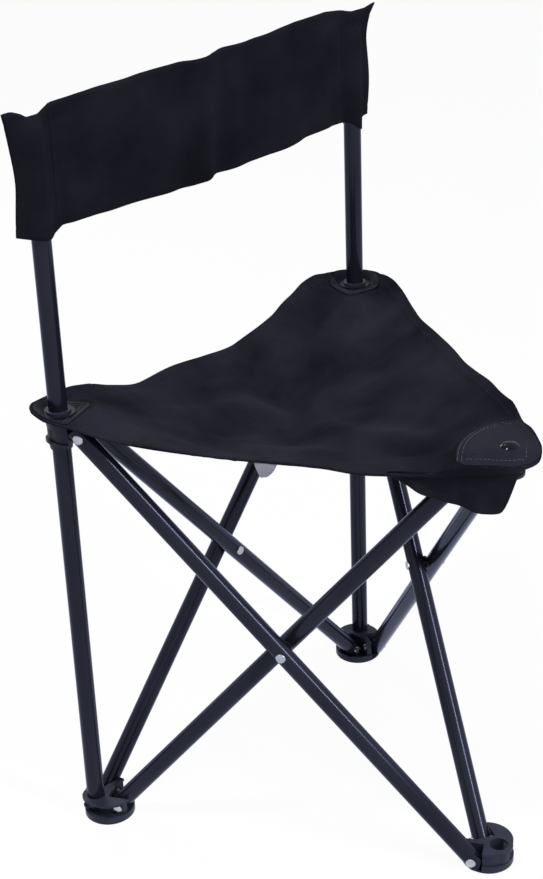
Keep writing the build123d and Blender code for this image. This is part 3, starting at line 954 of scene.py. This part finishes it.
def front_outline(grow):
    """An inner arc, a straight side where the left hem turns, the nose, and a side by the right hem."""
    hub, inward, across = HUB["front"], INWARD["front"], ACROSS["front"]
    right_out = side_axes("right")[2]
    nose = NOSE_RADIUS - PATCH_INSET + grow
    left_reach, right_reach = FRONT_TURN + grow, HEM_REACH - PATCH_INSET + grow
    ends = []
    for way, side_reach in ((-1, right_reach), (1, left_reach)):
        turn = math.radians(60)
        for _ in range(9):
            turn = math.radians(30) + math.asin(side_reach / (front_reach(way * turn) + grow))
        ends.append(way * turn)
    points = []
    count = 34
    for k in range(count + 1):
        angle = ends[0] + (ends[1] - ends[0]) * k / count
        reach = front_reach(angle) + grow
        points.append(hub + (inward * math.cos(angle) + across * math.sin(angle)) * reach)
    points += line_points(points[-1], hub + LEFT_OUT * left_reach, 2.4 * MM)[1:]
    start = math.degrees(math.atan2(LEFT_OUT.dot(across), -LEFT_OUT.dot(inward)))
    end = -math.degrees(math.atan2(right_out.dot(-across), -right_out.dot(inward)))
    count = 20
    for k in range(1, count):
        angle = math.radians(start + (end - start) * k / count)
        toward = math.cos(angle - math.radians(start))
        limit = min(nose, left_reach / max(toward, 0.2)) if toward > 0 else nose
        points.append(hub + (across * math.sin(angle) - inward * math.cos(angle)) * limit)
    points += line_points(hub + right_out * right_reach, points[0], 2.4 * MM)[:-1]
    return points


def patch_outline(corner, grow=0.0):
    """Flat outline of a corner patch, anticlockwise."""
    return front_outline(grow) if corner == "front" else rear_outline(corner, grow)


def inside(line, p):
    """Whether a flat point is inside a closed line."""
    odd = False
    for a, b in zip(line, line[1:] + line[:1]):
        if (a.y > p.y) != (b.y > p.y) and p.x < a.x + (p.y - a.y) * (b.x - a.x) / (b.y - a.y):
            odd = not odd
    return odd


def patch_mesh(corner):
    """Flat points and triangles of a patch, with the fold lines of the seat as edges."""
    line = patch_outline(corner)
    hub, hole = HUB[corner], PATCH_HOLE[corner]
    wide = 60 * MM
    cut = Cut(line)
    cut.chain(circle_points(hub, hole, 2.0 * MM), True)
    fold = [from_corner(corner, LOBE_START, y) for y in (-wide, wide)]
    cut.chain(line_points(*fold, 1.6 * MM))
    for y in (-STRIP, STRIP):
        edge = from_corner(corner, 0, y)
        cut.chain(line_points(edge - INWARD[corner] * wide, edge + INWARD[corner] * wide, 1.6 * MM))
    cut.chain(patch_outline(corner, -0.8 * MM), True)
    cut.fill(hub, 1.5 * MM, 46, 0.9 * MM)
    return cut.triangles(lambda p: (p - hub).length >= hole * 0.99 and inside(line, p))


# The front patch has two straight seams besides its arcs: one by the left hem, one by the nose.
LEFT_SEAM = 13.2 * MM                       # outward of the left side's line of hub axes
NOSE_SEAM = 13.1 * MM                       # from the snap rivet
NOSE_SEAM_OUT = Vector((0.806, 0.592))      # inward and across, square to the seam by the nose


def front_lines(p):
    """Distances inside the front patch's two straight seams: by the left hem, and by the nose."""
    x, y = corner_xy("front", p)
    return LEFT_SEAM - beyond_left(p), NOSE_SEAM_OUT.x * x + NOSE_SEAM_OUT.y * y + NOSE_SEAM


def seam_distance(corner, p):
    """How far a flat point is from the nearest sunk line of a patch."""
    if corner != "front":
        if corner_xy(corner, p)[0] <= -2 * MM:
            return 1.0
        tips = rear_tips(corner)
        inset = min(inset_from(tips[:2], p), inset_from(tips[1:], p))
        return min(abs(inset - valley) for valley in PATCH_VALLEYS)
    inset = within_front(p)
    near_left, near_nose = front_lines(p)
    found = [abs(inset - valley) for valley in PATCH_VALLEYS]
    if inset > PATCH_VALLEYS[1] and near_nose > -2 * MM:
        found.append(abs(near_left + 1.6 * MM))
    return min(found)


def inset_from(line, p):
    """Distance of a point from a closed line."""
    best = 1.0
    for a, b in zip(line, line[1:] + line[:1]):
        d = b - a
        t = max(0.0, min(1.0, (p - a).dot(d) / max(d.length_squared, 1e-12)))
        best = min(best, (p - a - d * t).length)
    return best


def evened(points, triangles, rounds):
    """Evens out a sheet. Its open edges are evened along themselves."""
    pairs = np.array([(t[k], t[(k + 1) % 3]) for t in triangles for k in range(3)])
    rim = np.array(rim_of(triangles))
    edge = np.zeros(len(points), bool)
    edge[rim.ravel()] = True
    loose, back = pairs[~edge[pairs[:, 0]]], pairs[~edge[pairs[:, 1]]][:, ::-1]
    pairs = np.concatenate([loose, back, rim, rim[:, ::-1]])
    place = np.array([tuple(p) for p in points])
    return [Vector(p) for p in averaged(place, pairs, np.ones(len(points), bool), rounds)]


for corner in CORNERS:
    flat, triangles = patch_mesh(corner)
    line = patch_outline(corner)
    placed = [on_cloth(p, PATCH_THICKNESS / 2 + 0.35 * MM)[0] for p in flat]
    placed = evened(placed, triangles, 10 if corner == "front" else 5)
    normals = point_normals(placed, triangles)
    for i, p in enumerate(flat):
        seam = 1.5 * math.exp(-(seam_distance(corner, p) / (0.9 * MM)) ** 2)
        edge = 1 - smooth(inset_from(line, p), 0, 1.2 * MM)
        placed[i] -= Vector(normals[i]) * (0.55 * MM * seam + 0.3 * MM * edge)
    normals = point_normals(placed, triangles)
    half = [PATCH_THICKNESS / 2] * len(flat)
    uv = [(p.x, p.y) for p in flat]
    for (_, zone), part in sorted(by_zone(triangles, flat, patch_zone).items()):
        rim = outward_of(placed, triangles, normals)
        piece = thick_piece(f"patch_{corner}_{zone}", placed, part, normals, half, VINYL, uv, rim)
        if zone == "strip":
            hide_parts(f"corner_patch_{corner}")
        follow_zone(piece, corner, zone)


# ---- Stitching on the seat ----
STITCH = {"hem": 3.2 * MM, "patch": 2.9 * MM}
STITCH_GAP = {"hem": 1.3 * MM, "patch": 0.3 * MM}
STITCH_LIFT = {"hem": 0.12 * MM, "patch": PATCH_THICKNESS - 0.1 * MM}
THREAD_RADIUS = {"hem": 0.34 * MM, "patch": 0.42 * MM}
stitch_runs = {"hem": {}, "patch": {}}


def sew(line, seam):
    """Stitches along a line of flat points, each filed with its part of the seat."""
    lengths = [(b - a).length for a, b in zip(line, line[1:])]
    total = sum(lengths)
    gap, lift = STITCH_GAP[seam], STITCH_LIFT[seam]
    zone_at = patch_zone if seam == "patch" else zone_of
    count = max(1, int(total / (STITCH[seam] + gap)))
    pace = total / count

    def along(distance):
        for a, b, length in zip(line, line[1:], lengths):
            if distance <= length:
                return a.lerp(b, distance / max(length, 1e-9))
            distance -= length
        return line[-1]

    for k in range(count):
        a, b = along(k * pace + gap / 2), along((k + 1) * pace - gap / 2)
        zone = zone_at((a + b) / 2)
        if zone_at(a) != zone or zone_at(b) != zone:
            continue
        start, normal = on_cloth(a, lift)
        end, _ = on_cloth(b, lift)
        stitch_runs[seam].setdefault(zone, []).append((start, end, normal))


def front_arc(inset):
    """A line some way inside the curved border of the front patch."""
    line = []
    for k in range(91):
        angle = math.radians(-80 + 160 * k / 90)
        reach = front_reach(angle) - inset
        line.append(from_corner("front", reach * math.cos(angle), reach * math.sin(angle)))
    return line


def under_patch(p):
    corner = nearest_corner(p)
    if corner == "front":
        return in_front_patch(p)
    low, tip, high = rear_tips(corner)
    inward = corner_xy(corner, p)[0] > 0
    return inward and (tip - low).cross(p - low).z > 0 and (high - tip).cross(p - tip).z > 0


def on_band(p):
    """Whether a flat point is on the band that is turned down under the front patch."""
    return math.hypot(*corner_xy("front", p)) < BAND_REACH and beyond_left(p) > FRONT_TURN


def kept_runs(line, keep):
    """Splits a line of points where keep says no."""
    runs, run = [], []
    for p in line:
        if keep(p):
            run.append(p)
        elif run:
            runs.append(run)
            run = []
    return [run for run in [*runs, run] if len(run) > 1]


hem_line = outline(5.6 * MM, 3 * MM)
for run in kept_runs([*hem_line, hem_line[0]], lambda p: not under_patch(p) and not on_band(p)):
    sew(run, "hem")
for inset in PATCH_THREADS:
    for run in kept_runs(front_arc(inset), in_front_patch):
        sew(run, "patch")


def inner_seam(p, other):
    """Whether a point is between the arcs of the front patch and its other straight line."""
    return within_front(p) > PATCH_VALLEYS[1] and front_lines(p)[other] > 0 and edge_distance(p) > 4 * MM


row = [LEFT_START + LEFT_ALONG * (SPACING * k / 300) + LEFT_OUT * LEFT_SEAM for k in range(200, 331)]
for run in kept_runs(row, lambda p: inner_seam(p, 1)):
    sew(run, "patch")
foot = NOSE_SEAM_OUT * -NOSE_SEAM
way = Vector((NOSE_SEAM_OUT.y, -NOSE_SEAM_OUT.x))
row = [from_corner("front", *(foot + way * (k * MM))) for k in range(-30, 46)]
for run in kept_runs(row, lambda p: inner_seam(p, 0)):
    sew(run, "patch")
for corner in ("left", "right"):
    for inset in PATCH_THREADS:
        share = 1 - inset * math.sqrt(2) / REAR_PATCH_REACH
        low, tip, high = (HUB[corner] + (p - HUB[corner]) * share for p in rear_tips(corner))
        for end in (low, high):
            sew(line_points(end, tip, 3 * MM), "patch")
for seam, thread_material in (("hem", THREAD), ("patch", PATCH_THREAD_AND_HIGHLIGHT)):
    for (corner, zone), runs in sorted(stitch_runs[seam].items()):
        name = f"{seam}_stitches_{corner}_{zone}"
        piece = stitches_object(name, runs, thread_material, THREAD_RADIUS[seam])
        follow_zone(piece, corner, zone)


# ---- Skirt flap under the front corner ----
def flap():
    """Cloth that hangs behind the left hem, in front of the front hub."""
    _, along, out = side_axes("left")
    hub = HUB["front"]
    first, last = -10.8, 92         # back along the left side from the front hub's axis, in mm
    lower = profile([
        (first, 7), (4.6, 45), (12, 46.6), (22, 46.2), (40, 41), (60, 35.5), (77, 27), (last, 20),
    ])
    columns, rows = 46, 16
    points, uv = [], []
    for i in range(columns + 1):
        e = first + (last - first) * i / columns
        top = HEM_DROP["left"](1 - max(e, 0) * MM / SPACING) - 3.0 + 0.2 * min(e, 0)
        bottom = max(lower(e), top + 1.0)
        for j in range(rows + 1):
            t = j / rows
            drop = top + (bottom - top) * t
            fold = 1.7 * math.sin(e * 0.11 + 0.5) * t + 1.0 * math.sin(e * 0.27 + 2 * t) * t
            reach = 23.6 - 1.2 * t + fold * 0.8 - 2.4 * smooth(-e, 2, 12)
            reach -= 0.45 * math.exp(-(((drop - lower(e)) * 0.42 + 3.2) / 0.9) ** 2)      # sunk hem seam
            p = hub - along * (e * MM) + out * (reach * MM)
            points.append(Vector((p.x, p.y, SURFACE - drop * MM)))
            uv.append((e * MM, drop * MM))
    triangles = grid_triangles(columns, rows)
    normals = point_normals(points, triangles)
    half = [CLOTH_HALF] * len(points)
    outs = outward_of(points, triangles, normals)
    piece = thick_piece("front_flap", points, triangles, normals, half, SEAT_CLOTH, uv, outs)
    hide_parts("front_skirt")
    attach(piece, "front_top")
    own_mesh(piece)
    return piece


front_flap = flap()


# ---- Blank tag under the left hem ----
def tag():
    """A ribbon whose corners hang a little askew."""
    width, height = 19.5 * MM, 13.5 * MM
    place = LEFT_START + LEFT_ALONG * (SPACING * 0.452 + 3.4 * MM) + LEFT_OUT * (HEM_REACH - 0.8 * MM)
    top = SURFACE - (HEM_DROP["left"](0.47) + 0.8) * MM
    count = 8
    points, uv = [], []
    for j in range(count + 1):
        for i in range(count + 1):
            s, t = i / count, j / count
            left, right = width * 0.27 * t, width * (1 - 0.25 * t - 0.25 * t ** 3)
            x = left * (1 - s) + right * s
            bulge = 0.9 * MM * math.sin(math.pi * t) + 0.7 * MM * math.sin(3 * s + 2 * t)
            p = place + LEFT_ALONG * x + LEFT_OUT * bulge
            points.append(Vector((p.x, p.y, top - height * t)))
            uv.append((x, height * t))
    triangles = [t[::-1] for t in grid_triangles(count, count)]
    normals = point_normals(points, triangles)
    piece = thick_piece("blank_tag", points, triangles, normals, [0.35 * MM] * len(points), TAG, uv)
    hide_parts("seat_tag")
    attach(piece, "left_lobe")
    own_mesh(piece)
    return piece


blank_tag = tag()


# ---- Backrest ----
POST_X = HUB["right"].x
BACK_Y = HUB["left"].y
SLEEVE_REACH = 15.5         # half width of the swelling over a post, in mm
BACK_EDGE = 208             # half width of the band, in mm
BACK_SEAM = 168             # from the middle to the seams that close the sleeves, in mm

# Outlines of the band in mm: heights of its top and foot, places of its two ends, and forward bulge.
BACK_TOP = profile([
    (-210, 664), (-202, 664.5), (-195, 662), (-186, 657.5), (-178, 657.5), (-170, 661), (-160, 664),
    (-130, 666), (-76, 668), (-36, 668), (-8, 666), (20, 667.5), (60, 670.5), (100, 673), (145, 674.5),
    (170, 672.5), (190, 668.5), (200, 668.5), (208, 671), (218, 671),
])
BACK_LOW = profile([
    (-208, 566), (-196, 562), (-186, 560), (-176, 559.5), (-168, 562.5), (-158, 565), (-100, 565),
    (-50, 564), (-14, 562), (10, 562.5), (50, 565), (90, 566.5), (130, 570), (160, 571.5), (176, 570),
    (186, 563), (193, 561), (197, 570), (207, 571),
])
LEFT_EDGE = profile([(560, -208), (590, -206.5), (612, -205), (640, -206.5), (655, -208.5), (666, -211)])
RIGHT_EDGE = profile([(560, 206), (600, 206.5), (640, 206), (652, 208), (662, 211.5), (672, 218)])
BULGE = profile([
    (-168, 0), (-120, 3.5), (-60, 6.0), (-15, 4.5), (12, 0.5), (40, 1.5), (90, 4.0), (135, 2.5), (168, 0),
])

# Soft upright folds of the band: place at its foot, place at its top, width, depth. In mm.
BACK_FOLDS = [
    (12, 25, 8, 4.6), (-6, 2, 8, -2.6), (34, 46, 9, -2.2), (-163, -165, 4, 2.2), (-152, -148, 7, -1.6),
    (-128, -118, 9, 1.5), (-60, -92, 15, -2.6), (-36, -24, 10, 2.0), (96, 72, 15, -2.4),
    (120, 112, 9, 1.6), (156, 152, 5, 1.6),
]


def back_folds(x, t):
    """How far the folds push the band back at a point."""
    return sum(
        depth * math.exp(-(((x - foot - (top - foot) * t) / width) ** 2))
        * (0.75 + 0.25 * math.cos(5 * t + foot))
        for foot, top, width, depth in BACK_FOLDS
    )


def back_half(x, z):
    """Half thickness of the band: two layers of cloth, parted by the post in each sleeve."""
    flat_half = 1.1
    away = abs(abs(x) - POST_X / MM)
    if away >= SLEEVE_REACH:
        return flat_half
    swell = (math.cos(math.pi * away / SLEEVE_REACH) + 1) / 2
    closed = 1 - smooth(z, 648.5, 657.5)
    return flat_half + (TUBE_RADIUS / MM + 1.3 - flat_half) * swell * closed


def back_point(s, t, face):
    """A point of the band: s from its left to its right edge, t from its foot to its top."""
    x = -BACK_EDGE + 2 * BACK_EDGE * s
    low, high = BACK_LOW(x), BACK_TOP(x)
    z = low + (high - low) * t
    pull_left = 1 - smooth(x, -BACK_EDGE, -194)
    pull_right = smooth(x, 194, BACK_EDGE)
    x += (LEFT_EDGE(z) + BACK_EDGE) * pull_left + (RIGHT_EDGE(z) - BACK_EDGE) * pull_right
    place = Vector((x * 0.021, z * 0.024, 1.7))
    ripple = 1.2 * noise.noise(place) + 0.5 * noise.noise(place * 2.3)
    inner = smooth(POST_X / MM - abs(x), 10, 26)
    flare = 1.3 * math.sin(z * 0.07) * (pull_left + pull_right)
    wrinkle = noise.noise(Vector((x * 0.03, z * 0.11, 5.2))) * smooth(abs(x), 70, 150) * inner
    y = -BULGE(x) * (0.75 + 0.25 * math.sin(math.pi * t)) - ripple * inner * 1.6 + flare
    y += back_folds(x, t) * inner + 1.4 * wrinkle
    edge = min(t, 1 - t) * (high - low)
    half = back_half(x, z)
    hem = 0.35 * math.exp(-((edge - 9) / 1.2) ** 2)
    return Vector((x * MM, BACK_Y + (y - face * (half - hem)) * MM, z * MM))


def band(name, first, last, columns, body, nodes, keep=None):
    """One stretch of the band, closed all round, between two shares of its width."""
    rows = 34
    points, uv, faces = [], [], []
    for face in (1, -1):
        for i in range(columns + 1):
            s = first + (last - first) * i / columns
            for j in range(rows + 1):
                t = j / rows
                points.append(back_point(s, t, face))
                uv.append((points[-1].x, points[-1].z))
    size = (columns + 1) * (rows + 1)
    for i in range(columns):
        for j in range(rows):
            a = i * (rows + 1) + j
            b = a + rows + 1
            faces += [[a, b, b + 1, a + 1], [size + a, size + a + 1, size + b + 1, size + b]]
    edge = [i * (rows + 1) for i in range(columns + 1)]
    edge += [columns * (rows + 1) + j for j in range(1, rows + 1)]
    edge += [i * (rows + 1) + rows for i in range(columns - 1, -1, -1)]
    edge += [j for j in range(rows - 1, 0, -1)]
    faces += [[b, a, a + size, b + size] for a, b in zip(edge, edge[1:] + edge[:1])]
    piece = new_object(name, points, faces, BACK_CLOTH, None, uv)
    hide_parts(*nodes)
    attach(piece, body)
    if keep:
        anchor = back_point(first, 0.5, 1)
        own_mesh(piece)
    return piece


SEAM = (BACK_EDGE - BACK_SEAM) / (2 * BACK_EDGE)
left_sleeve = band("backrest_left", 0.0, SEAM, 34, "left_foot_and_post", ["backrest_sleeve_left"])
right_sleeve = band("backrest_right", 1 - SEAM, 1.0, 34, "right_foot_and_post", ["backrest_sleeve_right"])
seam_gap = 2 * (POST_X - BACK_SEAM * MM)
folded_keep = (FOLDED_SPACING - seam_gap) / (SPACING - seam_gap)
backrest_band = band("backrest_band", SEAM, 1 - SEAM, 110, "left_foot_and_post", ["backrest_panel"],
                     folded_keep)


for (corner, zone), triangles in sorted(by_zone(seat_triangles, flat_seat).items()):
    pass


# ---- Floor, light and camera ----
def background_rays(tree):
    """A node that is 1 for the rays that show the background: straight, mirrored or let through."""
    path = tree.nodes.new("ShaderNodeLightPath")
    total = path.outputs["Is Camera Ray"]
    for ray in ("Is Glossy Ray", "Is Transmission Ray"):
        either = tree.nodes.new("ShaderNodeMath")
        either.operation = "MAXIMUM"
        tree.links.new(total, either.inputs[0])
        tree.links.new(path.outputs[ray], either.inputs[1])
        total = either.outputs["Value"]
    return either


def pale_floor():
    """Nearly white, and brighter still where it is only the background."""
    m = Nodes("pale_floor")
    m.set(Roughness=0.9, Specular_IOR_Level=0.1)
    m.shader.inputs["Base Color"].default_value = (0.86, 0.86, 0.86, 1)
    glow = m.add("ShaderNodeEmission", Strength=1.0)
    share = m.maths("MULTIPLY", (background_rays(m.tree), "Value"), 0.95)
    mix = m.add("ShaderNodeMixShader")
    m.link(share, "Value", mix, "Fac")
    m.link(m.shader, "BSDF", mix, 1)
    m.link(glow, "Emission", mix, 2)
    m.link(mix, "Shader", m.output, "Surface")
    return m.material


floor_mesh = bpy.data.meshes.new("floor")
reach = 6.0
corners = [(-reach, -reach, 0), (reach, -reach, 0), (reach, reach, 0), (-reach, reach, 0)]
floor_mesh.from_pydata(corners, [], [(0, 1, 2, 3)])
floor_mesh.materials.append(pale_floor())
floor = bpy.data.objects.new("floor", floor_mesh)
scene.collection.objects.link(floor)

world = bpy.data.worlds.new("studio")
scene.world = world
world.use_nodes = True
tree = world.node_tree
tree.nodes.clear()
lights = []
for colour, strength in (((0.84, 0.89, 1.0, 1), 0.3), ((1, 1, 1, 1), 1.0)):     # on the stool, behind it
    light = tree.nodes.new("ShaderNodeBackground")
    light.inputs["Color"].default_value = colour
    light.inputs["Strength"].default_value = strength
    lights.append(light)
mix = tree.nodes.new("ShaderNodeMixShader")
out = tree.nodes.new("ShaderNodeOutputWorld")
tree.links.new(background_rays(tree).outputs["Value"], mix.inputs["Fac"])
tree.links.new(lights[0].outputs["Background"], mix.inputs[1])
tree.links.new(lights[1].outputs["Background"], mix.inputs[2])
tree.links.new(mix.outputs["Shader"], out.inputs["Surface"])


def soft_box(name, place, aim, size, power):
    data = bpy.data.lights.new(name, "AREA")
    data.shape = "RECTANGLE"
    data.size, data.size_y = size
    data.energy = power
    lamp = bpy.data.objects.new(name, data)
    lamp.location = place
    lamp.rotation_mode = "QUATERNION"
    lamp.rotation_quaternion = (Vector(aim) - Vector(place)).to_track_quat("-Z", "Y")
    scene.collection.objects.link(lamp)


TARGET = CENTRE + UP * 0.35
FACING = Vector((-0.713, -0.701, 0))         # from the stool towards the viewer
BESIDE = UP.cross(FACING)
soft_box("key", TARGET + FACING * 0.45 - BESIDE * 0.6 + UP * 1.75, TARGET, (0.2, 0.26), 22)
soft_box("fill", TARGET + FACING * 0.9 + BESIDE * 1.15 + UP * 0.85, TARGET, (0.12, 1.2), 22)
soft_box("rim", TARGET - FACING * 1.6 - BESIDE * 0.9 + UP * 1.2, TARGET, (0.5, 1.4), 14)

CAMERA_PLACE = (-0.98768, -0.87250, 1.01386)
CAMERA_TURN = (-45.501, 26.171, -2.239)      # azimuth, elevation and roll, in degrees
camera_data = bpy.data.cameras.new("camera")
camera_data.lens = 71.34
camera_data.sensor_width = 36
camera = bpy.data.objects.new("camera", camera_data)
azimuth, elevation, roll = (math.radians(a) for a in CAMERA_TURN)
back = Vector((math.sin(azimuth) * math.cos(elevation), -math.cos(azimuth) * math.cos(elevation),
               math.sin(elevation)))
right = (-back).cross(UP).normalized()
upward = right.cross(-back)
rolled_right = right * math.cos(roll) + upward * math.sin(roll)
rolled_up = -right * math.sin(roll) + upward * math.cos(roll)
turn = Matrix((rolled_right, rolled_up, back)).transposed().to_4x4()
camera.matrix_world = Matrix.Translation(CAMERA_PLACE) @ turn
scene.collection.objects.link(camera)
scene.camera = camera
scene.view_settings.view_transform = "Standard"
